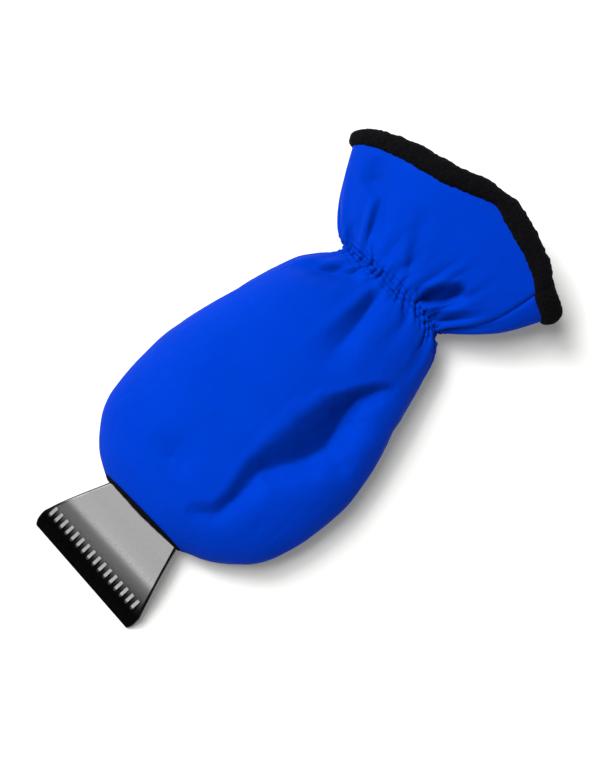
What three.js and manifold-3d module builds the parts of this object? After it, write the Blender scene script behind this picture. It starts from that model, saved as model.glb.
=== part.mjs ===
// A windshield ice scraper in a lined mitt.
// Millimetres, +Z up, +X from the scraping edge towards the cuff, +Y to the left.
// The mitt lies on its palm panel, and the origin is on that plane, under the middle of the object.
import * as THREE from "three";
import { mergeVertices } from "three/addons/utils/BufferGeometryUtils.js";
import Module from "manifold-3d";

const wasm = await Module();
wasm.setup();

// ---------------------------------------------------------------- driving dimensions

// Lengthwise stations, measured from the scraping edge. Past the wrist the cuff fans out, and
// its sides fall behind the middle, so there a station names a line of the cloth, not a plane.
const CLOTH_START = 52.5;
const LINING_START = 59;
const WRIST = 254;
const HEM = 338;
const HEM_FALL = 36; // how far the hem's two ends lie behind its middle
const HEM_CURVE = 2; // the exponent of the hem's arc
const BINDING_REACH = 5; // from the hem's cloth edge to the end of its binding
const OVERALL_LENGTH = HEM + BINDING_REACH;

// The mitt's outer shape: [station, size].
const HALF_WIDTH = profile([
  [51, 31], [54, 34.5], [59, 46], [69, 58.5], [88, 70.5], [132, 77], [178, 69.5], [227, 56],
  [248, 43], [254, 39.5], [262, 45], [296, 64.5], [338, 83],
]);
const SEAM_HEIGHT = profile([[51, 12], [88, 17], [182, 18], [254, 19], [338, 28]]);
const BACK_RISE = profile([
  [51, 9.5], [56, 11.5], [66, 17], [88, 22.5], [132, 27], [182, 27], [227, 22], [254, 15],
  [290, 20], [338, 25],
]);
const PALM_DROP = profile([
  [51, 9.5], [56, 11], [66, 15.5], [88, 20], [132, 21.5], [182, 22], [227, 20.5], [254, 15.5],
  [290, 19], [338, 22.5],
]);
const ARCH_SHAPE = { across: 2.2, up: 0.6 }; // how full the cross-section is between its seams

// Depths below the outer face of the shell, of each layer of the mitt.
const SHELL = { outer: 0, inner: 0.8 };
const SEAM_THREAD_DEPTH = 1.4;
const LINING = { outer: 3.4, inner: 5.2 };
const SEAM_GAP = 0.4; // between the back and the palm panels' edges

const WRIST_ELASTIC = { start: WRIST - 6, end: WRIST + 6, outer: 2.1, inner: 2.6 };
const MOUTH_ELASTIC = { start: 54, end: 58, outer: 2.9, inner: 3.4 };
const THREAD_RADIUS = 0.35;
const STITCH_DEPTH = -0.75; // stitches lie on the outside of the shell
const GATHER_ROW_OFFSET = 3; // each row of gathering stitches from the middle of the elastic

// The scraper: a one-piece moulding, level along its handle, with a head that bends down to its edge.
const SCRAPER_LENGTH = 190;
const HANDLE_HEIGHT = 12;
const HEAD_BEND_END = 36; // the head is level from here on
const HEAD_DROP = 11.2;
const SCRAPER_HALF_WIDTH = profile([
  [0, 42], [4, 43.8], [8, 44], [13, 42.5], [32, 35.2], [51, 28], [60, 26], [72, 20.5],
  [84, 15], [100, 14], [140, 16], [176, 14.5], [186, 11], [190, 6],
]);
const SCRAPER_HALF_THICKNESS = profile([
  [0, 0.4], [9, 1.75], [40, 1.75], [60, 2.5], [76, 4.5], [184, 4.5], [190, 2.5],
]);
const RIB = { count: 16, pitch: 5, length: 7, radius: 1, middle: 14, tilt: 0.12 };
const POCKET = { count: 4, first: 94, pitch: 24, length: 20, width: 18, roof: 3 };

const AROUND = 32; // facets round one cross-section of the mitt
const CLOTH_STATIONS = [
  52.5, 54, 56, 59, 62, 65, 69, 77, 88, 108, 132, 157, 182, 206, 227, 240, 248, 251, 254,
  257, 260, 267, 280, 295, 310, 324, 333, 338,
];

// ---------------------------------------------------------------- materials

const shellCloth = new THREE.MeshStandardMaterial({ color: 0x0041d0, roughness: 0.55 });
const fleece = new THREE.MeshStandardMaterial({ color: 0x0c0c0e, roughness: 1 });
const blackPlastic = new THREE.MeshStandardMaterial({ color: 0x0a0a0b, roughness: 0.15 });
const elasticTape = new THREE.MeshStandardMaterial({ color: 0xe8e8e4, roughness: 0.8 });
const blueThread = new THREE.MeshStandardMaterial({ color: 0x0038b8, roughness: 0.6 });
const blackThread = new THREE.MeshStandardMaterial({ color: 0x101012, roughness: 0.7 });

// ---------------------------------------------------------------- helpers

/** A smooth curve through [station, value] points, with no overshoot, held level past its ends. */
function profile(points) {
  const slope = (i) => (points[i + 1][1] - points[i][1]) / (points[i + 1][0] - points[i][0]);
  const tangent = points.map((_, i) => {
    if (i === 0) return slope(0);
    if (i === points.length - 1) return slope(i - 1);
    const before = slope(i - 1);
    const after = slope(i);
    return before * after <= 0 ? 0 : (2 * before * after) / (before + after);
  });
  return (x) => {
    if (x <= points[0][0]) return points[0][1];
    if (x >= points.at(-1)[0]) return points.at(-1)[1];
    const i = points.findIndex((p) => p[0] > x) - 1;
    const span = points[i + 1][0] - points[i][0];
    const t = (x - points[i][0]) / span;
    return (
      points[i][1] * (1 + 2 * t) * (1 - t) ** 2 +
      tangent[i] * span * t * (1 - t) ** 2 +
      points[i + 1][1] * t * t * (3 - 2 * t) +
      tangent[i + 1] * span * t * t * (t - 1)
    );
  };
}

/** A closed geometry from points and quads, with its faces turned outwards. */
function closedGeometry(points, quads) {
  const triangles = quads.flatMap(([a, b, c, d]) => [[a, b, c], [a, c, d]]);
  const volume = triangles.reduce(
    (sum, [a, b, c]) => sum + points[a].dot(points[b].clone().cross(points[c])),
    0,
  );
  const index = triangles.flatMap(([a, b, c]) => (volume > 0 ? [a, b, c] : [a, c, b]));
  const geometry = new THREE.BufferGeometry().setFromPoints(points);
  geometry.setIndex(index);
  geometry.computeVertexNormals();
  return geometry;
}

/** The solid between two grids of points that have the same rows and columns. */
function slab(upper, lower) {
  const rows = upper.length;
  const columns = upper[0].length;
  const top = (i, j) => i * columns + j;
  const bottom = (i, j) => (rows + i) * columns + j;
  const quads = [];
  for (let i = 0; i + 1 < rows; i++) {
    for (let j = 0; j + 1 < columns; j++) {
      quads.push([top(i, j), top(i + 1, j), top(i + 1, j + 1), top(i, j + 1)]);
      quads.push([bottom(i, j + 1), bottom(i + 1, j + 1), bottom(i + 1, j), bottom(i, j)]);
    }
    quads.push([top(i + 1, 0), top(i, 0), bottom(i, 0), bottom(i + 1, 0)]);
    const j = columns - 1;
    quads.push([top(i, j), top(i + 1, j), bottom(i + 1, j), bottom(i, j)]);
  }
  for (let j = 0; j + 1 < columns; j++) {
    quads.push([top(0, j), top(0, j + 1), bottom(0, j + 1), bottom(0, j)]);
    const i = rows - 1;
    quads.push([top(i, j + 1), top(i, j), bottom(i, j), bottom(i, j + 1)]);
  }
  return closedGeometry([...upper.flat(), ...lower.flat()], quads);
}

/** Closed loops of points, each joined to the next: a ring if the last joins the first, or else a
 *  rod with flat ends, which needs four-sided loops. */
function skin(loops, isRing) {
  const size = loops[0].length;
  const at = (i, k) => (i % loops.length) * size + (k % size);
  const joined = isRing ? loops : loops.slice(0, -1);
  const quads = joined.flatMap((loop, i) =>
    loop.map((_, k) => [at(i, k), at(i + 1, k), at(i + 1, k + 1), at(i, k + 1)]),
  );
  if (!isRing) {
    const end = loops.length - 1;
    quads.push([at(0, 0), at(0, 1), at(0, 2), at(0, 3)]);
    quads.push([at(end, 3), at(end, 2), at(end, 1), at(end, 0)]);
  }
  return closedGeometry(loops.flat(), quads);
}

function toManifold(geometry) {
  const bare = geometry.index ? geometry.toNonIndexed() : geometry.clone();
  bare.deleteAttribute("normal");
  bare.deleteAttribute("uv");
  const merged = mergeVertices(bare, 1e-4);
  return new wasm.Manifold(
    new wasm.Mesh({
      numProp: 3,
      vertProperties: merged.attributes.position.array,
      triVerts: new Uint32Array(merged.index.array),
    }),
  );
}

function fromManifold(solid) {
  const mesh = solid.getMesh();
  const geometry = new THREE.BufferGeometry();
  geometry.setAttribute("position", new THREE.BufferAttribute(mesh.vertProperties, 3));
  geometry.setIndex(new THREE.BufferAttribute(mesh.triVerts, 1));
  geometry.computeVertexNormals();
  return geometry;
}

// ---------------------------------------------------------------- the mitt's shape

/** A point of the mitt at a station, an angle round its section and a depth below its outer face.
 *  Angle 0 is the left side seam, 90 degrees the middle of the back and 270 that of the palm. */
function mittPoint(station, angle, depth, seamGap = 0) {
  const across = Math.cos(angle);
  const onBack = Math.sin(angle) >= 0;
  const arch = Math.max(0, 1 - Math.abs(across) ** ARCH_SHAPE.across) ** ARCH_SHAPE.up;
  const rise = (onBack ? BACK_RISE(station) : PALM_DROP(station)) - depth;
  const height = SEAM_HEIGHT(station) + (onBack ? 1 : -1) * (rise * arch + seamGap / 2);
  const flare = Math.max(0, (station - WRIST) / (HEM - WRIST));
  return new THREE.Vector3(
    station - HEM_FALL * flare * Math.abs(across) ** HEM_CURVE,
    (HALF_WIDTH(station) - depth) * across,
    Math.max(height, depth), // the palm is pressed flat where it lies
  );
}

/** One panel of cloth, from seam to seam, between two depths. */
function panel(layer, fromAngle, start) {
  const stations = CLOTH_STATIONS.filter((station) => station >= start);
  const angles = Array.from({ length: AROUND / 2 + 1 }, (_, j) => fromAngle + (j * 2 * Math.PI) / AROUND);
  // The palm's angles run from just past the seam, so that its end points count as palm.
  const nudged = angles.map((angle, j) => angle + (j === 0 ? 1e-9 : j === AROUND / 2 ? -1e-9 : 0));
  const grid = (depth) => stations.map((s) => nudged.map((angle) => mittPoint(s, angle, depth, SEAM_GAP)));
  return slab(grid(layer.outer), grid(layer.inner));
}

/** A section's points in order, with one more wherever a side of it crosses a station of the cloth,
 *  so that a band bends with the cloth's own facets. */
function bentWithCloth(section) {
  return section.flatMap(([from, fromDepth], i) => {
    const [to, toDepth] = section[(i + 1) % section.length];
    const low = Math.min(from, to) + 0.1;
    const high = Math.max(from, to) - 0.1;
    const crossed = CLOTH_STATIONS.filter((s) => s > low && s < high);
    if (to < from) crossed.reverse();
    const depthAt = (s) => fromDepth + ((toDepth - fromDepth) * (s - from)) / (to - from);
    return [[from, fromDepth], ...crossed.map((s) => [s, depthAt(s)])];
  });
}

/** A band round the mitt. Its section is a polygon of [offset from the station, depth]. */
function band(station, section) {
  const bent = bentWithCloth(section.map(([along, depth]) => [station + along, depth]));
  const loopAt = (angle) => bent.map(([s, depth]) => mittPoint(s, angle, depth));
  return skin(Array.from({ length: AROUND }, (_, i) => loopAt((i * 2 * Math.PI) / AROUND)), true);
}

/** The section of a binding folded over a cloth edge: a C whose mouth faces along the station axis. */
function bindingSection({ reach, overlap, outer, inner, slotOuter, slotInner, round }) {
  const clearance = 0.4 * Math.sign(reach);
  return [
    [reach, outer + round], [reach - round * Math.sign(reach), outer], [-overlap, outer],
    [-overlap, slotOuter], [clearance, slotOuter], [clearance, slotInner], [-overlap, slotInner],
    [-overlap, inner], [reach - round * Math.sign(reach), inner], [reach, inner - round],
  ];
}

/** A flat elastic that runs round the mitt under the shell. */
function elastic({ start, end, outer, inner }) {
  return band(0, [[start, outer], [end, outer], [end, inner], [start, inner]]);
}

/** The four-sided section of a thread that runs round the mitt at an offset and a depth. */
function threadSection(along, depth) {
  return [
    [along + THREAD_RADIUS, depth], [along, depth + THREAD_RADIUS],
    [along - THREAD_RADIUS, depth], [along, depth - THREAD_RADIUS],
  ];
}

/** The thread that joins the two panels of the shell along one side, inside the seam. */
function sideSeamThread(angle) {
  const stations = CLOTH_STATIONS.filter((s) => s > LINING_START && s < HEM);
  const loops = stations.map((s) =>
    Array.from({ length: 4 }, (_, k) => {
      const turn = (k * Math.PI) / 2;
      const point = mittPoint(s, angle, SEAM_THREAD_DEPTH + THREAD_RADIUS * Math.cos(turn));
      return point.setZ(point.z + THREAD_RADIUS * Math.sin(turn));
    }),
  );
  return skin(loops, false);
}

// ---------------------------------------------------------------- the scraper

const scraperHeight = (x) => HANDLE_HEIGHT - HEAD_DROP * Math.max(0, 1 - x / HEAD_BEND_END) ** 2;

/** The scraper's plate and handle, with its long edges chamfered. */
function scraperBlank() {
  const stations = [
    0, 1.5, 4, 8, 10.5, 13, 18, 24, 31, 38, 44, 51, 57, 62, 67, 72, 78, 84, 92, 100, 120, 140, 158, 170,
    176, 181, 185, 188, 190,
  ];
  const chamfer = (x) => 1 + 2 * THREE.MathUtils.smoothstep(x, 62, 84);
  const side = (sign) =>
    stations.map((x) => {
      const halfWidth = SCRAPER_HALF_WIDTH(x);
      const flat = halfWidth - chamfer(x);
      return [-halfWidth, -flat, -flat / 2, 0, flat / 2, flat, halfWidth].map((y) => {
        const share = Math.abs(y) === halfWidth ? 0.5 : 1;
        return new THREE.Vector3(x, y, scraperHeight(x) + sign * share * SCRAPER_HALF_THICKNESS(x));
      });
    });
  return slab(side(1), side(-1));
}

/** One raised ice-breaking rib, half sunk in the face behind the edge. It is tilted less than that
 *  face, so its front end stands prouder than its rear. */
function rib(y) {
  const bar = new THREE.CapsuleGeometry(RIB.radius, RIB.length - 2 * RIB.radius, 3, 8);
  bar.rotateZ(Math.PI / 2);
  bar.rotateY(-RIB.tilt);
  bar.translate(RIB.middle, y, scraperHeight(RIB.middle) + SCRAPER_HALF_THICKNESS(RIB.middle));
  return bar;
}

/** One pocket that cores out the handle from below, as the mould does to keep the wall even. */
function pocket(x) {
  const depth = 2 * SCRAPER_HALF_THICKNESS(x) - POCKET.roof;
  const box = new THREE.BoxGeometry(POCKET.length, POCKET.width, 2 * depth);
  return box.translate(x, 0, HANDLE_HEIGHT - SCRAPER_HALF_THICKNESS(x));
}

function scraper() {
  let solid = toManifold(scraperBlank());
  for (let i = 0; i < RIB.count; i++)
    solid = solid.add(toManifold(rib((i - (RIB.count - 1) / 2) * RIB.pitch)));
  for (let i = 0; i < POCKET.count; i++)
    solid = solid.subtract(toManifold(pocket(POCKET.first + i * POCKET.pitch)));
  return fromManifold(solid);
}

// ---------------------------------------------------------------- the assembly

const BACK = 0; // the angle where each side's panel starts
const PALM = Math.PI;

const mouthBindingSection = bindingSection({
  reach: -1.5, overlap: -3.5, outer: -1.5, inner: 2.3, slotOuter: -0.5, slotInner: 1.3, round: 0.5,
});
const cuffBindingSection = bindingSection({
  reach: BINDING_REACH, overlap: 7, outer: -2, inner: 7, slotOuter: -0.6, slotInner: 5.5, round: 2,
});

const pieces = [
  ["shell_back_panel", panel(SHELL, BACK, CLOTH_START), shellCloth],
  ["shell_palm_panel", panel(SHELL, PALM, CLOTH_START), shellCloth],
  ["lining_back_panel", panel(LINING, BACK, LINING_START), fleece],
  ["lining_palm_panel", panel(LINING, PALM, LINING_START), fleece],
  ["wrist_elastic", elastic(WRIST_ELASTIC), elasticTape],
  ["mouth_elastic", elastic(MOUTH_ELASTIC), elasticTape],
  ["mouth_binding", band(CLOTH_START, mouthBindingSection), fleece],
  ["cuff_binding", band(HEM, cuffBindingSection), fleece],
  ["side_seam_thread_left", sideSeamThread(0), blueThread],
  ["side_seam_thread_right", sideSeamThread(Math.PI), blueThread],
  ["gather_thread_front", band(WRIST - GATHER_ROW_OFFSET, threadSection(0, STITCH_DEPTH)), blueThread],
  ["gather_thread_rear", band(WRIST + GATHER_ROW_OFFSET, threadSection(0, STITCH_DEPTH)), blueThread],
  ["mouth_thread", band(CLOTH_START, threadSection(2.2, -1.5 + STITCH_DEPTH)), blackThread],
  ["cuff_thread", band(HEM, threadSection(-5.5, -2 + STITCH_DEPTH)), blackThread],
  ["scraper", scraper(), blackPlastic],
];

const iceScraperMitt = new THREE.Group();
iceScraperMitt.position.x = -OVERALL_LENGTH / 2;
for (const [name, geometry, material] of pieces) {
  const mesh = new THREE.Mesh(geometry, material);
  mesh.name = name;
  iceScraperMitt.add(mesh);
}

export default iceScraperMitt;
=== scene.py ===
"""The looks of a windshield ice scraper in a lined mitt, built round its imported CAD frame.

Outlines are in millimetres along the mitt's own stations, which start at the scraping edge, as in
the CAD. Everything is turned into metres in the frame's axes when its mesh is made.
"""

import math

import bmesh
import bpy
import numpy as np
from mathutils import Matrix, Vector, noise
from mathutils.bvhtree import BVHTree


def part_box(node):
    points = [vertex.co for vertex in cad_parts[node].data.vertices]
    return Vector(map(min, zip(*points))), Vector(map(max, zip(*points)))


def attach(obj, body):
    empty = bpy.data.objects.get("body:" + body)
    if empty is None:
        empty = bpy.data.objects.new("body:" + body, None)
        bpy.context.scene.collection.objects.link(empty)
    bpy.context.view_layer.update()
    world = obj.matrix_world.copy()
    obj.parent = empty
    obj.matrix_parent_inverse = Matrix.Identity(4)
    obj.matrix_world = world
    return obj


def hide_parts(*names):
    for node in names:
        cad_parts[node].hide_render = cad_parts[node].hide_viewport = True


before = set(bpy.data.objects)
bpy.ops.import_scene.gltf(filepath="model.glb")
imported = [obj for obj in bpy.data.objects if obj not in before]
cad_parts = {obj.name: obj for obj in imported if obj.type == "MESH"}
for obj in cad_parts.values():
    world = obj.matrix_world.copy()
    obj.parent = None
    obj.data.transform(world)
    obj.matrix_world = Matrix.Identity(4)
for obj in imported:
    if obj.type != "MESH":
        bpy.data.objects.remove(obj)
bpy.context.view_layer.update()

MM = 0.001
EDGE_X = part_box("scraper")[0].x  # where station 0, the scraping edge, is in the frame

# ---------------------------------------------------------------- the mitt's shape, in millimetres

MOUTH = 52.5
WRIST = 254
HEM = 335.5
HEM_TIP = -0.23  # where the hem's tip is across the mitt, from -1, the right seam, to 1, the left
STITCH_ROWS = (WRIST - 3, WRIST + 3)
SEAM_TURN = 0.56  # how far the right seam has turned on to the top at the hem, in radians

SHELL_THICKNESS = 0.6
LINING_START = 59
LINING_DEPTH = 3.4
LINING_LEAST_DEPTH = 2.38  # where a fold of the shell presses on it
LINING_THICKNESS = 1.5
ELASTIC_THICKNESS = 0.6
WRIST_ELASTIC = {"start": WRIST - 6.5, "end": WRIST + 6.5, "depth": 2.2}
MOUTH_ELASTIC = {"start": MOUTH + 2, "end": MOUTH + 5.5, "depth": 1.6}
WRIST_SLACK = 2.2  # how much deeper the layers lie under the gathers of the wrist
CUFF_RIM = {"reach": 7.3, "thickness": 6.2}  # half the rim's extent along the cloth, and across it
MOUTH_RIM = {"reach": 2.6, "thickness": 1.6}
RIM_SIDES = 24
GATHER_STITCH = {"pitch": 3.2, "length": 2.2, "radius": 0.35}
CUFF_STITCH = {"pitch": 3.5, "length": 2.6, "radius": 0.4}
MOUTH_STITCH = {"pitch": 3.0, "length": 2.0, "radius": 0.35}
SEAM_STITCH = {"pitch": 2.6, "length": 1.9, "radius": 0.3}
SEAM_STITCH_DEPTH = 1.5
STITCH_STEPS = 8  # points along a stitch and the gap after it
STITCH_SIDES = 6

HANDLE_HEIGHT = 12
HEAD_BEND_END = 36
HEAD_DROP = 11.2
ASKEW = -0.045  # how far the scraper is turned in the mouth, in radians, about a point at a station
ASKEW_ABOUT = 28
RIB = {
    "count": 16,
    "pitch": 5,
    "length": 7.8,
    "width": 2.6,
    "height": 1.0,
    "middle": 12.8,  # the station of the ribs' middles
    "tilt": 0.12,  # the slope of their crests
    "offset": 1.2,  # how far to the left of the blade's middle the row of ribs stands
}
POCKET = {"count": 4, "first": 94, "pitch": 24, "length": 20, "width": 18, "depth": 6}

AROUND = 144  # columns of the mitt's mesh while it settles, half as many as in the end
ALONG = 100  # rows of it

COLOURS = {
    "cloth": (0.0, 0.046, 0.62),
    "fleece": (0.0035, 0.0035, 0.0042),
    "plastic": (0.0012, 0.0012, 0.0014),
    "elastic": (0.8, 0.8, 0.77),
}
CLOTH_GLOSS = (0.0, 0.25, 1.0)
CLOTH_BOUNCE = (0.04, 0.05, 0.1)  # what the cloth sends on to other surfaces, so shadows stay grey


def profile(*points):
    """A smooth curve through (station, value) points that doesn't overshoot them."""
    x, y = np.array(points, dtype=float).T
    slope = np.diff(y) / np.diff(x)
    tangent = np.zeros(len(x))
    tangent[0], tangent[-1] = slope[0], slope[-1]
    rising = slope[:-1] * slope[1:] > 0
    total = np.where(rising, slope[:-1] + slope[1:], 1.0)
    tangent[1:-1] = np.where(rising, 2 * slope[:-1] * slope[1:] / total, 0.0)

    def curve(at):
        at = np.clip(at, x[0], x[-1])
        i = np.clip(np.searchsorted(x, at, side="right") - 1, 0, len(x) - 2)
        span = x[i + 1] - x[i]
        t = (at - x[i]) / span
        return (
            y[i] * (1 + 2 * t) * (1 - t) ** 2
            + tangent[i] * span * t * (1 - t) ** 2
            + y[i + 1] * t * t * (3 - 2 * t)
            + tangent[i + 1] * span * t * t * (t - 1)
        )

    return curve


HEM_LINE = profile(  # stations of the hem, from the right seam at -1 to the left one at 1
    (-1, 309), (-0.88, 313), (-0.73, 321.5), (-0.55, 327), (-0.364, 331.5), (-0.22, 334.5), (-0.1, 331.5),
    (0.1, 325), (0.31, 321), (0.52, 318), (0.73, 314), (0.86, 311), (1, 306),
)
LEFT_WIDTH = profile(  # from the mitt's middle to its left seam, and below, to its right one
    (51, 32), (54, 38), (59, 46.5), (69, 56.5), (79, 63.5), (90, 67.5), (112, 70.5), (132, 71.3), (150, 69.5),
    (180, 63.5), (228, 50.5), (240, 42.5), (249, 35), (254, 33), (261, 41), (279, 54.5), (296, 63), (337, 78),
)
RIGHT_WIDTH = profile(
    (51, 30), (54, 35), (59, 46.5), (69, 60), (79, 69.5), (90, 75), (112, 80.5), (138, 82.6), (160, 79.8),
    (200, 69), (228, 60), (240, 55.5), (248, 50), (255, 43.5), (262, 47), (279, 61), (296, 72), (337, 88),
)
SEAM_HEIGHT = profile((51, 12), (88, 17), (182, 18), (254, 19), (337, 28))
BACK_RISE = profile(
    (51, 7.6), (54, 10), (59, 13.5), (66, 17), (88, 22.5), (132, 27), (182, 27), (227, 22), (254, 15),
    (290, 20), (337, 25),
)
PALM_DROP = profile(
    (51, 9.5), (56, 11), (66, 15.5), (88, 20), (132, 21.5), (182, 22), (227, 20.5), (254, 15.5), (290, 19),
    (337, 22.5),
)
CUT_WIDTH = profile(  # half the width the cloth was cut to, before the elastic gathered it
    (51, 33), (54, 38), (59, 47), (69, 60), (79, 68), (90, 74), (132, 79), (180, 73), (228, 66), (254, 64),
    (279, 68), (337, 84),
)

SCRAPER_WIDTH = profile(  # half the width of the moulding, and below, half its thickness
    (0, 41.6), (1, 42.6), (4, 43.8), (8, 44), (13, 42.6), (32, 35.6), (51, 28.8), (60, 26), (72, 20.5),
    (84, 15), (100, 14), (140, 16), (176, 14.5), (190, 13.5),
)
SCRAPER_THICKNESS = profile((0, 0.35), (9.2, 1.75), (40, 1.75), (60, 2.5), (76, 4.5), (190, 4.5))
SCRAPER_ROUNDING = profile((0, 0.3), (9, 1.2), (14, 1.6), (40, 1.7), (76, 3.0), (190, 4.0))


def mitt_points(station, turn, cut=False):
    """Points of the mitt's smooth outside as an array of x, y, z in millimetres. With cut, it is as
    wide as the cloth was cut, before the elastic gathered it."""
    flare = np.clip((station - WRIST) / (HEM - WRIST), 0, 1)
    turned = turn - SEAM_TURN * flare**0.42 * np.where(np.cos(turn) < 0, np.cos(turn) ** 2, 0)
    across = np.cos(turned)
    above = np.sin(turned) >= 0
    width = np.where(across > 0, LEFT_WIDTH(station), RIGHT_WIDTH(station))
    if cut:
        width = np.maximum(CUT_WIDTH(station), width)
    arch = np.clip(1 - np.abs(across) ** 2.2, 0, 1) ** 0.6
    rise = np.where(above, BACK_RISE(station), PALM_DROP(station))
    z = SEAM_HEIGHT(station) + np.where(above, rise, -rise) * arch
    x = station + (HEM_LINE(across) - HEM) * flare
    return np.stack([x, width * across, np.maximum(z, 0)], axis=-1)


# ---------------------------------------------------------------- mesh helpers


def to_frame(points):
    """Millimetres from the scraping edge, as metres in the frame."""
    return np.asarray(points).reshape(-1, 3) * MM + np.array([EDGE_X, 0, 0])


def new_object(name, points, faces, material, smooth=True):
    """An object from points in millimetres and faces."""
    mesh = bpy.data.meshes.new(name)
    mesh.from_pydata(to_frame(points).tolist(), [], faces)
    mesh.validate()
    piece = bpy.data.objects.new(name, mesh)
    bpy.context.collection.objects.link(piece)
    mesh.materials.append(material)
    mesh.polygons.foreach_set("use_smooth", [smooth] * len(mesh.polygons))
    return piece


def tube_faces(rows, columns, closed_rows=False):
    """Quads of a grid whose columns close on themselves, and whose rows may too."""
    faces = []
    for i in range(rows if closed_rows else rows - 1):
        for j in range(columns):
            k = (j + 1) % columns
            below = (i + 1) % rows
            faces.append((i * columns + j, i * columns + k, below * columns + k, below * columns + j))
    return faces


def closed_tube_faces(rows, columns):
    """The same, with a face across each end."""
    first, last = range(columns - 1, -1, -1), range((rows - 1) * columns, rows * columns)
    return tube_faces(rows, columns) + [tuple(first), tuple(last)]


def sheet_faces(rows, columns):
    """Quads of an open grid."""
    return [
        (i * columns + j, i * columns + j + 1, (i + 1) * columns + j + 1, (i + 1) * columns + j)
        for i in range(rows - 1)
        for j in range(columns - 1)
    ]


def apply_modifiers(piece):
    """Replaces the piece's mesh with its evaluated one, so that no modifier is left on it."""
    evaluated = piece.evaluated_get(bpy.context.evaluated_depsgraph_get())
    mesh = bpy.data.meshes.new_from_object(evaluated)
    piece.modifiers.clear()
    piece.data = mesh


def finish_piece(piece, body, nodes):
    """Says which body a piece rides on and which CAD nodes it replaces."""
    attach(piece, body)
    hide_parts(*nodes)


# ---------------------------------------------------------------- materials


def new_material(name, **inputs):
    """A material with a Principled shader, and its node tree, for constant values."""
    material = bpy.data.materials.new(name)
    material.use_nodes = True
    shader = material.node_tree.nodes["Principled BSDF"]
    for key, value in inputs.items():
        shader.inputs[key.replace("_", " ")].default_value = value
    return material, material.node_tree.nodes, material.node_tree.links, shader


def noise_texture(nodes, links, coordinates, scale, detail=3.0):
    """The value of a noise texture."""
    texture = nodes.new("ShaderNodeTexNoise")
    texture.inputs["Scale"].default_value = scale
    texture.inputs["Detail"].default_value = detail
    links.new(coordinates, texture.inputs["Vector"])
    return texture.outputs["Fac"]


def bump(nodes, links, height, distance, strength=1.0, after=None):
    """A normal bumped by a height, on top of the bump that came before it."""
    node = nodes.new("ShaderNodeBump")
    node.inputs["Distance"].default_value = distance
    node.inputs["Strength"].default_value = strength
    links.new(height, node.inputs["Height"])
    if after is not None:
        links.new(after, node.inputs["Normal"])
    return node.outputs["Normal"]


def ramp(nodes, links, value, *stops):
    """A colour ramp through (position, colour) stops."""
    node = nodes.new("ShaderNodeValToRGB")
    while len(node.color_ramp.elements) < len(stops):
        node.color_ramp.elements.new(0.5)
    for element, (position, colour) in zip(node.color_ramp.elements, stops):
        element.position = position
        element.color = (*colour, 1)
    links.new(value, node.inputs["Fac"])
    return node.outputs["Color"]


def cloth_material(name, colour, weave=0.00045):
    """Smooth, tightly woven polyester: a fine weave, a soft sheen and a faint change of colour."""
    material, nodes, links, shader = new_material(
        name, Roughness=0.7, Sheen_Weight=0.02, Sheen_Roughness=0.4, Sheen_Tint=(*CLOTH_GLOSS, 1),
        Specular_IOR_Level=0.12, Specular_Tint=(*CLOTH_GLOSS, 1),
    )
    place = nodes.new("ShaderNodeTexCoord").outputs["Object"]
    threads = []
    for direction in ("X", "Y"):
        wave = nodes.new("ShaderNodeTexWave")
        wave.bands_direction = direction
        wave.inputs["Scale"].default_value = 0.314 / weave
        wave.inputs["Distortion"].default_value = 0.6
        links.new(place, wave.inputs["Vector"])
        threads.append(wave.outputs["Fac"])
    crossing = nodes.new("ShaderNodeMath")
    crossing.operation = "MULTIPLY"
    links.new(threads[0], crossing.inputs[0])
    links.new(threads[1], crossing.inputs[1])
    fine = bump(nodes, links, crossing.outputs[0], 0.00004, 0.6)
    rumple = noise_texture(nodes, links, place, 260.0, 4.0)
    links.new(bump(nodes, links, rumple, 0.00025, 0.35, after=fine), shader.inputs["Normal"])
    shade = noise_texture(nodes, links, place, 24.0)
    darker = tuple(0.9 * c for c in colour)
    seen = nodes.new("ShaderNodeMix")
    seen.data_type = "RGBA"
    links.new(nodes.new("ShaderNodeLightPath").outputs["Is Diffuse Ray"], seen.inputs["Factor"])
    links.new(ramp(nodes, links, shade, (0.3, darker), (0.7, colour)), seen.inputs[6])
    seen.inputs[7].default_value = (*CLOTH_BOUNCE, 1)
    links.new(seen.outputs[2], shader.inputs["Base Color"])
    return material


def fleece_material(name, colour):
    """Brushed fleece: short curly pile, with a painted highlight on the tips of its curls."""
    material, nodes, links, shader = new_material(
        name, Roughness=1.0, Sheen_Weight=0.015, Sheen_Roughness=0.6, Specular_IOR_Level=0.03
    )
    place = nodes.new("ShaderNodeTexCoord").outputs["Object"]
    curls = noise_texture(nodes, links, place, 900.0, 5.0)
    clumps = nodes.new("ShaderNodeTexVoronoi")
    clumps.inputs["Scale"].default_value = 520.0
    links.new(place, clumps.inputs["Vector"])
    pile = bump(nodes, links, clumps.outputs["Distance"], 0.0008, 0.7)
    links.new(bump(nodes, links, curls, 0.0006, 0.8, after=pile), shader.inputs["Normal"])
    # painted highlight: the tips of the curls are coloured lighter, as if lit
    painted_tip_highlight = tuple(2.2 * c for c in colour)
    links.new(ramp(nodes, links, curls, (0.45, colour), (0.75, painted_tip_highlight)), shader.inputs["Base Color"])
    return material


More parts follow.
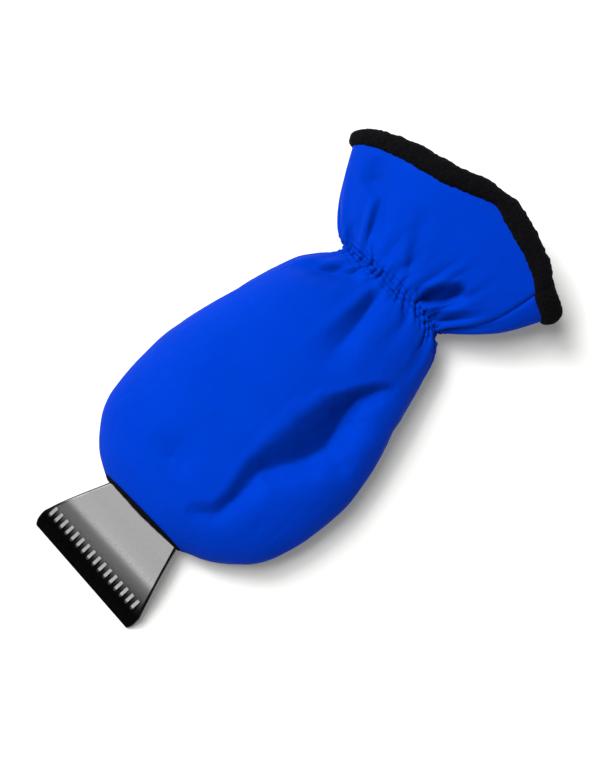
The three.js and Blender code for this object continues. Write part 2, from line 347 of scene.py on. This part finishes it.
def plastic_material(name, colour):
    """Glossy moulded plastic, with faint flow marks and fine scuffs."""
    material, nodes, links, shader = new_material(name, Specular_IOR_Level=0.85)
    place = nodes.new("ShaderNodeTexCoord").outputs["Object"]
    scuffs = noise_texture(nodes, links, place, 700.0, 6.0)
    links.new(ramp(nodes, links, scuffs, (0.3, (0.15,) * 3), (0.8, (0.23,) * 3)), shader.inputs["Roughness"])
    flow = noise_texture(nodes, links, place, 40.0)
    links.new(bump(nodes, links, flow, 0.0002, 0.05), shader.inputs["Normal"])
    dusty = tuple(1.5 * c for c in colour)
    links.new(ramp(nodes, links, flow, (0.4, colour), (0.7, dusty)), shader.inputs["Base Color"])
    return material


def thread_material(name, colour):
    """Twisted sewing thread."""
    material, nodes, links, shader = new_material(name, Roughness=0.6, Sheen_Weight=0.2)
    place = nodes.new("ShaderNodeTexCoord").outputs["Object"]
    twist = noise_texture(nodes, links, place, 2500.0)
    links.new(bump(nodes, links, twist, 0.0001, 0.5), shader.inputs["Normal"])
    darker = tuple(0.7 * c for c in colour)
    links.new(ramp(nodes, links, twist, (0.4, darker), (0.6, colour)), shader.inputs["Base Color"])
    return material


def elastic_material(name, colour):
    """Ribbed woven elastic."""
    material, nodes, links, shader = new_material(name, Roughness=0.85)
    place = nodes.new("ShaderNodeTexCoord").outputs["Object"]
    cords = nodes.new("ShaderNodeTexWave")
    cords.inputs["Scale"].default_value = 350.0
    links.new(place, cords.inputs["Vector"])
    links.new(bump(nodes, links, cords.outputs["Fac"], 0.0002, 0.6), shader.inputs["Normal"])
    darker = tuple(0.8 * c for c in colour)
    striped = ramp(nodes, links, cords.outputs["Fac"], (0.0, darker), (1.0, colour))
    links.new(striped, shader.inputs["Base Color"])
    return material


BLUE_CLOTH = cloth_material("blue_polyester", COLOURS["cloth"])
BLACK_FLEECE = fleece_material("black_fleece", COLOURS["fleece"])
BLACK_PLASTIC = plastic_material("black_plastic", COLOURS["plastic"])
BLUE_THREAD = thread_material("blue_thread", tuple(0.8 * c for c in COLOURS["cloth"]))
BLACK_THREAD = thread_material("black_thread", COLOURS["fleece"])
WHITE_ELASTIC = elastic_material("white_elastic", COLOURS["elastic"])

# ---------------------------------------------------------------- the mitt's cloth


def cloth_grid():
    """Stations and turns of the mitt's mesh, closer together at the mouth and at the wrist."""
    even = np.linspace(0, 1, 4001)
    station = MOUTH + (HEM - MOUTH) * even
    at_wrist = np.exp(-(((station - WRIST) / 14) ** 2))
    at_mouth = np.exp(-(((station - MOUTH) / 10) ** 2))
    closeness = 1 + 1.6 * at_wrist + 1.0 * at_mouth
    share = np.concatenate([[0], np.cumsum(closeness[1:])])
    rows = np.interp(np.linspace(0, share[-1], ALONG), share, station)
    for target in STITCH_ROWS:
        rows[np.argmin(np.abs(rows - target))] = target
    turns = np.arange(AROUND) * 2 * math.pi / AROUND
    return np.meshgrid(rows, turns, indexing="ij")


def loose_folds(station, turn):
    """The broad folds that fan out from the wrist over the body and the cuff, in millimetres."""
    wander = 0.35 * np.sin(5 * turn + 1.0) + 0.25 * np.sin(11 * turn + 2.3)
    past = station - WRIST
    body_side = np.sin(11 * turn + 4 * wander + 0.7) * np.exp(-((past / 22) ** 2)) * (past < 0)
    cuff_side = np.sin(15 * turn + 5 * wander + 2.0) * np.exp(-((past / 34) ** 2)) * (past >= 0)
    return (1.0 * body_side + 1.3 * cuff_side) * (1 - np.exp(-((past / 6) ** 2)))


def gathers(station, turn):
    """Tight gathers along the two rows of stitches, with round crests and sharp valleys, in millimetres."""
    past = station - WRIST
    wander = 0.6 * np.sin(4 * turn + 0.6) + 0.5 * np.sin(9 * turn + 2.9) + 0.3 * np.sin(17 * turn + 1.1)
    drift = 0.9 * np.sin(past / 3.5 + 3 * turn)
    tight = np.abs(np.cos(22 * turn + 3.5 * wander + 0.7 * drift)) - 0.5
    wide = np.abs(np.cos(8 * turn + 1.6 * wander + 0.4 * drift + 1.1)) - 0.6
    knots = np.sin(31 * turn + 1.1 * past) * np.sin(19 * turn - 0.8 * past + 1.0)
    uneven = 0.85 + 0.4 * np.sin(6 * turn + 4.0) * np.sin(5 * turn + 1.7)
    patchy = 0.9 + 0.5 * np.sin(13 * turn + 1.3) * np.sin(4 * turn + 0.5)
    pinch = np.exp(-(((np.abs(past) - 3) / 1.5) ** 2))
    near = np.exp(-((past / 6.5) ** 2))
    further = np.exp(-((past / 16.0) ** 2))
    return (2.6 * patchy * tight + 1.5 * knots) * near + 2.0 * wide * uneven * further - 0.7 * pinch


def outward(points):
    """Unit normals of a grid of points whose columns close on themselves."""
    along = np.gradient(points, axis=0)
    around = np.roll(points, -1, axis=1) - np.roll(points, 1, axis=1)
    normal = np.cross(around, along)
    normal /= np.linalg.norm(normal, axis=-1, keepdims=True) + 1e-12
    middle = points.mean(axis=1, keepdims=True)
    facing = np.sign(((points - middle) * normal).sum(axis=-1).mean())
    return normal * facing


CREST_ROUNDING = 0.12  # how gradually a crease's steep side ends, as a share of its width
CREST_LIP = 0.1  # how much a crest bulges out, as a share of its crease's depth


def crease(points, line):
    """How far a crease pushes each point in, in millimetres. line is its points, seen from above, as
    x, y, depth, width of the steep side on the right as it is walked, and width of the other side."""
    line = np.array(line, dtype=float)
    lengths = np.concatenate([[0], np.cumsum(np.linalg.norm(np.diff(line[:, :2], axis=0), axis=1))])
    fine = np.linspace(0, lengths[-1], 50)
    path = np.stack([np.interp(fine, lengths, line[:, k]) for k in range(5)], axis=-1)
    offset = points[..., None, :2] - path[:, :2]
    distance = np.linalg.norm(offset, axis=-1)
    nearest = distance.argmin(axis=-1)
    distance = distance.min(axis=-1)
    heading = np.gradient(path[:, :2], axis=0)[nearest]
    away = np.take_along_axis(offset, nearest[..., None, None], axis=-2)[..., 0, :]
    on_right = heading[..., 1] * away[..., 0] - heading[..., 0] * away[..., 1] > 0
    depth, steep, gentle = np.moveaxis(path[nearest][..., 2:], -1, 0)
    share = distance / steep
    wall = CREST_ROUNDING * np.logaddexp(0, (1 - share) / CREST_ROUNDING)
    lip = CREST_LIP * np.exp(-(((share - 1.15) / 0.4) ** 2))
    slope = np.exp(-((distance / gentle) ** 2))
    return depth * np.where(on_right, wall - lip, slope)


# seen from above, each point is x, y, depth, and the widths that crease() explains
CREASES = [
    # the long hollow down the right of the body, with its crest on the left, and its hook at the mouth
    [
        (212, -54, 0, 2.5, 8), (200, -46, 5, 3, 10), (187, -42, 8, 5.5, 12), (175, -43, 13, 12.5, 14),
        (156, -48, 16, 20, 12), (142, -45, 14, 17, 12), (129, -39, 10, 13, 12), (115, -33, 7, 8, 10),
        (94, -35, 5, 6, 8), (81, -33, 4, 5, 8), (74, -25, 2.5, 5, 6), (70, -19, 0, 5, 6),
    ],
    # the fold down from the middle of the wrist
    [
        (247, -4, 0, 4, 4), (240, -6, 5, 6, 5), (226, -9, 6.5, 8, 6), (206, -12, 5, 11, 8),
        (180, -14, 0, 14, 12),
    ],
    # the fold under the left shoulder
    [(248, 12, 0, 3, 6), (242, 15, 4, 4, 7), (234, 25, 6, 5, 8), (224, 42, 3, 5, 8), (218, 52, 0, 5, 8)],
    # soft dents on the body
    [(88, 26, 0, 10, 12), (85, 9, 3, 9, 12), (84, -6, 0, 10, 12)],
    [(164, -66, 0, 8, 8), (152, -64, 3, 9, 8), (140, -62, 0, 8, 8)],
    # the pocket at the right of the cuff
    [
        (284, -40, 0, 4, 4), (281, -39, 9, 5, 4), (272, -34, 11, 6, 4), (265, -27, 9, 5, 4),
        (260, -20, 0, 4, 4),
    ],
    # folds from the wrist up the cuff, from its left edge to its right
    [(268, 40, 0, 3, 3), (261, 36, 3, 3.5, 3), (257, 30, 4, 4, 3), (254, 24, 3, 3, 3), (252, 17, 0, 3, 3)],
    [(258, 25, 0, 3, 3), (254, 19, 3, 3, 3), (250, 14, 0, 3, 3)],
    [
        (304, 58, 0, 8, 8), (294, 49, 5.5, 8, 8), (288, 36, 3.5, 6, 8), (270, 25, 4, 4, 6),
        (256, 13, 0, 3, 3),
    ],
    [(304, 10, 0, 6, 6), (286, 4, 1.8, 6, 6), (271, -6, 2.5, 4, 5), (258, -13, 0, 3, 4)],
    # the hollow where the cuff's seam runs into the wrist
    [
        (284, -60, 0, 3, 3), (274, -54, 3, 3.5, 3), (266, -46, 5, 4, 3), (260, -39, 4.5, 4, 3),
        (254, -34, 0, 3, 3),
    ],
]


def seam_groove(points, column):
    """How far the seam along a column of the grid pulls each point in, in millimetres."""
    distance = np.linalg.norm(points - points[:, column : column + 1], axis=-1)
    return 1.3 * np.exp(-((distance / 1.3) ** 2))


def tightness(station, turn):
    """How firmly each point of the cloth is held while it settles: from 0, free, to 1, fixed."""
    held = np.full(station.shape, 0.02)
    held[(station < MOUTH + 4) | (station > HEM - 4)] = 1
    for row in STITCH_ROWS:
        held[np.abs(station - row) < 0.6] = 1
    resting = (np.sin(turn) < 0) & (mitt_points(station, turn)[..., 2] <= 0.01)
    held[resting] = 1
    return held


def settle(points, cut_points, held, frames=24, most=9.0):
    """Lets the gathered cloth settle as Blender's cloth, from the size that it was cut to."""
    piece = new_object("settling", points, tube_faces(*points.shape[:2]), BLUE_CLOTH)
    piece.shape_key_add(name="gathered")
    cut = piece.shape_key_add(name="cut")
    cut.data.foreach_set("co", to_frame(cut_points).ravel())
    group = piece.vertex_groups.new(name="held")
    for weight in np.unique(held):
        group.add(np.flatnonzero(held.ravel() == weight).tolist(), float(weight), "REPLACE")
    settings = piece.modifiers.new("cloth", "CLOTH").settings
    settings.rest_shape_key = cut
    settings.vertex_group_mass = "held"
    settings.pin_stiffness = 1.0
    settings.quality = 6
    settings.mass = 0.02
    settings.air_damping = 2
    settings.tension_stiffness = 12
    settings.compression_stiffness = 12
    settings.shear_stiffness = 4
    settings.bending_stiffness = 0.05
    settings.use_pressure = True
    settings.uniform_pressure_force = 1.5
    settings.effector_weights.gravity = 0
    piece.modifiers["cloth"].collision_settings.use_collision = False
    scene = bpy.context.scene
    scene.frame_start, scene.frame_end = 1, frames
    for frame_number in range(1, frames + 1):
        scene.frame_set(frame_number)
    evaluated = piece.evaluated_get(bpy.context.evaluated_depsgraph_get())
    settled = np.empty(points.size)
    evaluated.data.vertices.foreach_get("co", settled)
    scene.frame_set(1)
    bpy.data.objects.remove(piece)
    settled = (settled.reshape(-1, 3) - np.array([EDGE_X, 0, 0])) / MM
    moved = settled.reshape(points.shape) - points
    distance = np.linalg.norm(moved, axis=-1, keepdims=True)
    print("settled: moved mean %.2f mm, most %.2f mm" % (distance.mean(), distance.max()))
    return points + moved * np.minimum(1, most / np.maximum(distance, 1e-9))


def doubled(grid):
    """A grid with twice the columns, which close on themselves, and new rows between the old ones,
    each new point on the cubic through its four neighbours."""

    def halfway(a, b, c, d):
        return (9 * (b + c) - a - d) / 16

    new_columns = halfway(np.roll(grid, 1, 1), grid, np.roll(grid, -1, 1), np.roll(grid, -2, 1))
    wide = np.stack([grid, new_columns], axis=2).reshape(len(grid), -1, *grid.shape[2:])
    longer = np.concatenate([2 * wide[:1] - wide[1:2], wide, 2 * wide[-1:] - wide[-2:-1]])
    fine = np.repeat(wide, 2, axis=0)[:-1]
    fine[1::2] = halfway(longer[:-3], longer[1:-2], longer[2:-1], longer[3:])
    return fine


def make_cloth():
    """The grid of the mitt's outside, with the station and the turn of each of its points: folded,
    settled, and then gathered and creased on a finer mesh."""
    station, turn = cloth_grid()
    loose = mitt_points(station, turn)
    loose = loose + outward(loose) * loose_folds(station, turn)[..., None]
    loose = settle(loose, mitt_points(station, turn, cut=True), tightness(station, turn))
    station, fine = doubled(station), doubled(loose)
    turn = np.broadcast_to(np.arange(2 * AROUND) * math.pi / AROUND, station.shape)
    sunk = sum(crease(fine, line) for line in CREASES) * np.clip(np.sin(turn) * 3, 0, 1)
    lifted = gathers(station, turn) - sum(seam_groove(fine, column) for column in (0, AROUND))
    fine = fine + outward(smoothed(fine, 6)) * lifted[..., None]
    fine[..., 2] -= sunk
    fine[..., 2] = np.maximum(fine[..., 2], 0)
    return station, turn, fine


def mitt_shell(points):
    """The blue shell as a back panel and a palm panel that meet at the side seams."""
    half = AROUND
    back = points[:, : half + 1]
    palm = np.concatenate([points[:, half:], points[:, :1]], axis=1)
    for name, grid in (("shell_back", back), ("shell_palm", palm)):
        piece = new_object(name, grid, sheet_faces(*grid.shape[:2]), BLUE_CLOTH)
        thicken(piece, SHELL_THICKNESS)
        finish_piece(piece, "mitt", [f"{name}_panel"])


def thicken(piece, thickness):
    """Gives an open sheet its thickness, inwards."""
    solidify = piece.modifiers.new("thickness", "SOLIDIFY")
    solidify.thickness = thickness * MM
    solidify.offset = 1.0
    apply_modifiers(piece)


def smoothed(points, passes):
    """The grid with each point drawn towards its neighbours, with its first and last rows left alone."""
    for _ in range(passes):
        around = (np.roll(points, 1, axis=1) + np.roll(points, -1, axis=1)) / 2
        along = points.copy()
        along[1:-1] = (points[2:] + points[:-2]) / 2
        points = (points * 2 + around + along) / 4
    return points


def layer_below(points, depth, passes=12):
    """The mitt's grid moved in to a depth below its outside, and further in under the gathers."""
    even = smoothed(points, passes)
    deeper = depth + WRIST_SLACK * np.exp(-(((station - WRIST) / 18) ** 2))
    below = even - outward(even) * deeper[..., None]
    below[..., 2] = np.maximum(below[..., 2], depth)
    return below


def pushed_inside(points, shell, least, rounds=5):
    """The points, with the ones that lie less than a depth under the shell moved in to that depth."""
    moved = [Vector(point) for point in points.reshape(-1, 3)]
    for _ in range(rounds):
        for point in moved:
            place, normal, _, _ = shell.find_nearest(point)
            point -= normal * max(0.0, least + (point - place).dot(normal))
    return np.array(moved).reshape(points.shape)


def mitt_lining(points):
    """The fleece lining as a back panel and a palm panel."""
    rows = station[:, 0] >= LINING_START
    fleece = layer_below(points, LINING_DEPTH)[rows][::-2, ::2][::-1]
    fleece = pushed_inside(fleece, SHELL, LINING_LEAST_DEPTH)
    half = AROUND // 2
    back = fleece[:, : half + 1]
    palm = np.concatenate([fleece[:, half:], fleece[:, :1]], axis=1)
    for name, grid in (("lining_back", back), ("lining_palm", palm)):
        piece = new_object(name, grid, sheet_faces(*grid.shape[:2]), BLACK_FLEECE)
        thicken(piece, LINING_THICKNESS)
        finish_piece(piece, "mitt", [f"{name}_panel"])


def elastic_band(name, points, band, node):
    """A flat elastic under the shell, between two stations, squeezed thinner by the tightest folds."""
    rows = (station[:, 0] >= band["start"]) & (station[:, 0] <= band["end"])
    depth = band["depth"]
    outside = layer_below(points, depth)[rows]
    outside = pushed_inside(outside, SHELL, depth / 2)
    inside = layer_below(points, depth + ELASTIC_THICKNESS)[rows]
    inside = pushed_inside(inside, SHELL, depth / 2 + 0.4)
    loops = np.concatenate([outside, inside[::-1]])
    piece = new_object(name, loops, tube_faces(*loops.shape[:2], closed_rows=True), WHITE_ELASTIC)
    finish_piece(piece, "mitt", [node])


def resampled(count, closed, line, *others):
    """A line, and the arrays that belong to its points, at places evenly spaced along the line."""
    arrays = [np.concatenate([a, a[:1]]) if closed else a for a in (line, *others)]
    lengths = np.concatenate([[0], np.cumsum(np.linalg.norm(np.diff(arrays[0], axis=0), axis=1))])
    even = np.linspace(0, lengths[-1], count, endpoint=not closed)
    return [np.stack([np.interp(even, lengths, column) for column in a.T], axis=-1) for a in arrays]


def bumps(points, size, seed):
    """Smooth noise from -1 to 1 at each point, with features of a size in millimetres."""
    flat = points.reshape(-1, 3) / size + seed
    return np.array([noise.noise(Vector(p)) for p in flat]).reshape(points.shape[:-1])


def rolled_edge(name, edge, along, outside, reach, thickness, count, node):
    """A soft binding rolled over an edge: an oval ring with a slightly uneven, curly surface. along
    and outside are unit directions at each point of the edge, and reach is half the ring's extent
    along the cloth there."""
    centre, along, outside, reach = resampled(count, True, edge, along, outside, reach)
    angle = np.arange(RIM_SIDES) * 2 * math.pi / RIM_SIDES
    spread = np.cos(angle)[None, :, None] * along[:, None] * reach[:, None]
    spread = spread + np.sin(angle)[None, :, None] * outside[:, None] * thickness
    ring = centre[:, None] + spread
    uneven = 1 + 0.08 * bumps(ring, 9.0, 3.1) + 0.1 * bumps(ring, 2.8, 8.7)
    ring = centre[:, None] + spread * uneven[..., None]
    piece = new_object(name, ring, tube_faces(count, RIM_SIDES, closed_rows=True), BLACK_FLEECE)
    finish_piece(piece, "mitt", [node])
    return piece


def edge_directions(points, row, inner):
    """Unit directions at an edge row: along the cloth, away from an inner row, and out of it."""
    along = points[row] - points[inner]
    along /= np.linalg.norm(along, axis=1, keepdims=True)
    return along, outward(points)[row]


def mitt_bindings(points):
    """The thick fleece edge of the cuff, and the narrow one that grips the scraper at the mouth."""
    even = smoothed(points, 3)
    along, out = edge_directions(even, -1, -5)
    across = np.cos(turn[-1])[:, None]
    at_tip = np.exp(-(((across - HEM_TIP) / 0.11) ** 2)) * (np.sin(turn[-1]) > 0)[:, None]
    at_left = np.exp(-(((across - 1) / 0.4) ** 2))
    reach = CUFF_RIM["reach"] * (1 - 0.26 * at_tip - 0.2 * at_left)
    centre = even[-1] - out * 1.8 + along * (0.8 - 1.0 * at_tip + 0.8 * at_left)
    rim = rolled_edge("cuff_rim", centre, along, out, reach, CUFF_RIM["thickness"], 420, "cuff_binding")
    along, out = edge_directions(even, 0, 3)
    centre = even[0] - out * 0.9 + along * 2.2
    reach = np.full((len(centre), 1), MOUTH_RIM["reach"])
    rolled_edge("mouth_rim", centre, along, out, reach, MOUTH_RIM["thickness"], 160, "mouth_binding")


def stitch(spine, rise, radius):
    """The rings of one stitch along a short spine, whose ends dip into the cloth."""
    share = np.linspace(-1, 1, len(spine))
    lift = radius * (0.7 - 1.6 * np.abs(share) ** 3)
    heading = spine[-1] - spine[0]
    heading = heading / (np.linalg.norm(heading) + 1e-9)
    side = np.cross(heading, rise)
    side /= np.linalg.norm(side, axis=1, keepdims=True) + 1e-9
    width = radius * np.sqrt(np.clip(1.05 - share**2, 0.05, 1))
    angle = np.arange(STITCH_SIDES) * 2 * math.pi / STITCH_SIDES
    loop = spine + rise * lift[:, None]
    return (
        loop[:, None]
        + np.cos(angle)[None, :, None] * side[:, None] * width[:, None, None]
        + np.sin(angle)[None, :, None] * rise[:, None] * width[:, None, None]
    )


def stitches(name, line, out, size, material, node, closed=True):
    """A row of short stitches that lie on the cloth along a line of points, as one object."""
    ends = line[:1] if closed else line[:0]
    total = np.linalg.norm(np.diff(np.concatenate([line, ends]), axis=0), axis=1).sum()
    count = int(total / size["pitch"]) * STITCH_STEPS
    path, normal = resampled(count, closed, line, out)
    used = max(3, round(STITCH_STEPS * size["length"] / size["pitch"]))
    points, faces = [], []
    for first in range(0, count - used, STITCH_STEPS):
        part = slice(first, first + used + 1)
        rings = stitch(path[part], normal[part], size["radius"])
        start = len(points)
        points.extend(rings.reshape(-1, 3))
        faces.extend([tuple(start + v for v in face) for face in closed_tube_faces(len(rings), STITCH_SIDES)])
    piece = new_object(name, points, faces, material)
    finish_piece(piece, "mitt", [node])


def mitt_stitching(points):
    """The threads of the wrist, the side seams and the two bindings."""
    out = outward(points)
    rows = station[:, 0]
    for label, target in zip(("front", "rear"), STITCH_ROWS):
        row = np.argmin(np.abs(rows - target))
        stitches(
            f"gather_stitches_{label}", points[row], out[row], GATHER_STITCH, BLUE_THREAD,
            f"gather_thread_{label}",
        )
    even = smoothed(points, 3)
    out = outward(even)
    row = np.argmin(np.abs(rows - (HEM - CUFF_RIM["reach"] - 0.6)))
    stitches(
        "cuff_stitches", even[row], out[row], CUFF_STITCH, BLACK_THREAD, "cuff_thread"
    )
    row = np.argmin(np.abs(rows - (MOUTH + MOUTH_RIM["reach"] + 0.3)))
    stitches(
        "mouth_stitches", even[row], out[row], MOUTH_STITCH, BLACK_THREAD, "mouth_thread"
    )
    inner = (rows > LINING_START) & (rows < HEM - 8)
    for label, column in (("left", 0), ("right", AROUND)):
        line = points[inner, column] - out[inner, column] * SEAM_STITCH_DEPTH
        stitches(
            f"seam_stitches_{label}", line, out[inner, column], SEAM_STITCH, BLUE_THREAD,
            f"side_seam_thread_{label}", closed=False,
        )


station, turn, mitt = make_cloth()
SHELL = BVHTree.FromPolygons(mitt.reshape(-1, 3).tolist(), tube_faces(*mitt.shape[:2]))
mitt_shell(mitt)
mitt_lining(mitt)
elastic_band("wrist_band", mitt, WRIST_ELASTIC, "wrist_elastic")
elastic_band("mouth_band", mitt, MOUTH_ELASTIC, "mouth_elastic")
mitt_bindings(mitt)
mitt_stitching(mitt)

# ---------------------------------------------------------------- the scraper


def scraper_height(x):
    """The middle of the moulding's thickness: level along the handle, and bent down at the head."""
    return HANDLE_HEIGHT - HEAD_DROP * np.maximum(0, 1 - x / HEAD_BEND_END) ** 2


def rounded_section(half_width, half_thickness, radius, steps=5, margin=0.5):
    """A rounded rectangle as (y, z) points, with extra points that keep its flat sides flat up to a
    margin from its corners."""
    points = []
    for corner in range(4):
        sign_y = 1 if corner in (0, 3) else -1
        sign_z = 1 if corner in (0, 1) else -1
        centre = (sign_y * (half_width - radius), sign_z * (half_thickness - radius))
        for step in range(steps + 1):
            angle = math.pi / 2 * (corner + step / steps)
            points.append((centre[0] + radius * math.cos(angle), centre[1] + radius * math.sin(angle)))
        if corner in (0, 2):
            across = half_width - radius - margin
            for share in (1, 0.5, 0, -0.5, -1):
                points.append((sign_y * share * across, sign_z * half_thickness))
    return np.array(points)


def scraper_moulding():
    """Plate, neck and handle as one skin, from the scraping edge to the rounded end of the grip."""
    bevel = [0, 0.15, 0.5, 1.0, 1.8, 3, 4.5, 6, 7.5, 8.6, 9.2, 9.7, 10.4]
    rounded_end = [182, 184, 186, 187.5, 188.6, 189.4, 189.9, 190]
    stations = [*bevel, *np.arange(11.5, 60, 1.5), *np.arange(60, 182, 3.0), *rounded_end]
    loops = []
    for x in stations:
        half_width = float(SCRAPER_WIDTH(x))
        half_thickness = float(SCRAPER_THICKNESS(x))
        end = math.sqrt(max(0.02, 1 - max(0, (x - 184) / 6) ** 2))
        half_width, half_thickness = half_width * end, half_thickness * end
        radius = min(float(SCRAPER_ROUNDING(x)), 0.95 * half_thickness, 0.95 * half_width)
        section = rounded_section(half_width, half_thickness, radius)
        height = float(scraper_height(x))
        loops.append([(x, y, z + height) for y, z in section])
    loops = np.array(loops)
    rows, columns = loops.shape[:2]
    return new_object("scraper_moulding", loops, closed_tube_faces(rows, columns), BLACK_PLASTIC)


def cut_pockets(piece):
    """Cores out the underside of the handle with a row of round-cornered pockets."""
    for i in range(POCKET["count"]):
        x = POCKET["first"] + i * POCKET["pitch"]
        section = rounded_section(POCKET["width"] / 2, POCKET["length"] / 2, 2.5)
        levels = (HANDLE_HEIGHT - 8, HANDLE_HEIGHT - 4.5 + POCKET["depth"])
        loops = np.array([[(x + along, y, z) for y, along in section] for z in levels])
        faces = closed_tube_faces(*loops.shape[:2])
        cutter = new_object("pocket", loops, faces, BLACK_PLASTIC, smooth=False)
        outward_faces(cutter)
        hole = piece.modifiers.new("pocket", "BOOLEAN")
        hole.object = cutter
        apply_modifiers(piece)
        bpy.data.objects.remove(cutter)


def outward_faces(piece):
    """Turns a closed piece's faces to point out of it."""
    shape = bmesh.new()
    shape.from_mesh(piece.data)
    bmesh.ops.recalc_face_normals(shape, faces=shape.faces)
    shape.to_mesh(piece.data)
    shape.free()


def ice_rib(y):
    """One raised rib: a round-ended bar with a flat, nearly level crest, half sunk in the face."""
    base = float(scraper_height(RIB["middle"]) + SCRAPER_THICKNESS(RIB["middle"]))
    loops = []
    for share in np.linspace(-1, 1, 17):
        end = max(0.02, 1 - abs(share) ** 10) ** 0.4
        along = share * RIB["length"] / 2
        width, height = end * RIB["width"] / 2, end * RIB["height"]
        section = rounded_section(width, height, 0.32 * end, steps=3, margin=0.05 * end)
        level = base + along * RIB["tilt"]
        loops.append([(RIB["middle"] + along, y + across, level + up) for across, up in section])
    return np.array(loops)


def add_ribs(piece):
    """Joins the ribs to the moulding."""
    shape = bmesh.new()
    shape.from_mesh(piece.data)
    for i in range(RIB["count"]):
        loops = ice_rib((i - (RIB["count"] - 1) / 2) * RIB["pitch"] + RIB["offset"])
        verts = [shape.verts.new(p) for p in to_frame(loops)]
        for face in closed_tube_faces(*loops.shape[:2]):
            shape.faces.new([verts[v] for v in face]).smooth = True
    bmesh.ops.recalc_face_normals(shape, faces=shape.faces)
    shape.to_mesh(piece.data)
    shape.free()


def make_scraper():
    """The whole moulding with its pockets and ribs, turned a little in the mouth."""
    piece = scraper_moulding()
    outward_faces(piece)
    cut_pockets(piece)
    piece.data.polygons.foreach_set("use_smooth", [True] * len(piece.data.polygons))
    add_ribs(piece)
    middle = Matrix.Translation((EDGE_X + ASKEW_ABOUT * MM, 0, 0))
    piece.data.transform(middle @ Matrix.Rotation(ASKEW, 4, "Z") @ middle.inverted())
    finish_piece(piece, "scraper", ["scraper"])


make_scraper()

# ---------------------------------------------------------------- camera, floor and light


CAMERA = {"azimuth": -44.5, "elevation": 74, "lens": 85, "distance": 1.105}
CAMERA_AIM = (EDGE_X + 0.1735, -0.009, 0.015)


def make_camera():
    """Looks down on the mitt, with its scraping edge to the lower left."""
    azimuth, elevation = math.radians(CAMERA["azimuth"]), math.radians(CAMERA["elevation"])
    level = math.cos(elevation)
    back = Vector((math.sin(azimuth) * level, -math.cos(azimuth) * level, math.sin(elevation)))
    data = bpy.data.cameras.new("camera")
    data.lens = CAMERA["lens"]
    camera = bpy.data.objects.new("camera", data)
    camera.location = Vector(CAMERA_AIM) + back * CAMERA["distance"]
    camera.rotation_mode = "QUATERNION"
    camera.rotation_quaternion = (-back).to_track_quat("-Z", "Y")
    bpy.context.collection.objects.link(camera)
    bpy.context.scene.camera = camera


def make_floor():
    """A wide white floor that glows a little, so that it renders as white as the photo's."""
    mesh = bpy.data.meshes.new("floor")
    far = 6.0
    corners = [(-far, -far, 0), (far, -far, 0), (far, far, 0), (-far, far, 0)]
    mesh.from_pydata(corners, [], [(0, 1, 2, 3)])
    floor = bpy.data.objects.new("floor", mesh)
    bpy.context.collection.objects.link(floor)
    material, _, _, _ = new_material("floor_white", Base_Color=(0.93, 0.93, 0.91, 1), Roughness=0.9)
    shader = material.node_tree.nodes["Principled BSDF"]
    shader.inputs["Specular IOR Level"].default_value = 0.0
    shader.inputs["Emission Color"].default_value = (1, 1, 1, 1)
    shader.inputs["Emission Strength"].default_value = 0.2
    mesh.materials.append(material)


def make_lamp(name, direction, distance, size, radiance):
    """A rectangular soft light that shines at the mitt's middle from a direction, x, y, z."""
    place = Vector(direction).normalized() * distance
    data = bpy.data.lights.new(name, "AREA")
    data.shape = "RECTANGLE"
    data.size, data.size_y = size
    data.energy = radiance * math.pi * size[0] * size[1]
    lamp = bpy.data.objects.new(name, data)
    lamp.location = place
    lamp.rotation_mode = "QUATERNION"
    lamp.rotation_quaternion = (-place).to_track_quat("-Z", "Y")
    bpy.context.collection.objects.link(lamp)


def make_world(strength, dark_side, dark_cosine):
    """A pale studio with a dark panel on one side, which the bevel of the blade mirrors."""
    world = bpy.data.worlds.new("studio")
    world.use_nodes = True
    nodes, links = world.node_tree.nodes, world.node_tree.links
    facing = nodes.new("ShaderNodeVectorMath")
    facing.operation = "DOT_PRODUCT"
    facing.inputs[1].default_value = Vector(dark_side).normalized()
    links.new(nodes.new("ShaderNodeTexCoord").outputs["Generated"], facing.inputs[0])
    fade = nodes.new("ShaderNodeMapRange")
    fade.inputs["From Min"].default_value = dark_cosine
    fade.inputs["From Max"].default_value = dark_cosine + 0.15
    fade.inputs["To Min"].default_value = strength
    fade.inputs["To Max"].default_value = 0.0
    links.new(facing.outputs["Value"], fade.inputs["Value"])
    links.new(fade.outputs["Result"], nodes["Background"].inputs["Strength"])
    bpy.context.scene.world = world


make_camera()
make_floor()
make_lamp("overhead_softbox", (-0.11, 0.22, 0.97), 2.4, (1.16, 1.2), 6.0)
make_lamp("side_softbox", (-0.45, 0.21, 0.87), 2.4, (0.42, 1.2), 2.2)
make_lamp("key_softbox", (0.05, 0.8, 1.05), 5.0, (2.4, 2.4), 11)
make_world(0.38, (-0.8, 0.2, 0.56), 0.8)
bpy.context.scene.view_settings.view_transform = "Standard"
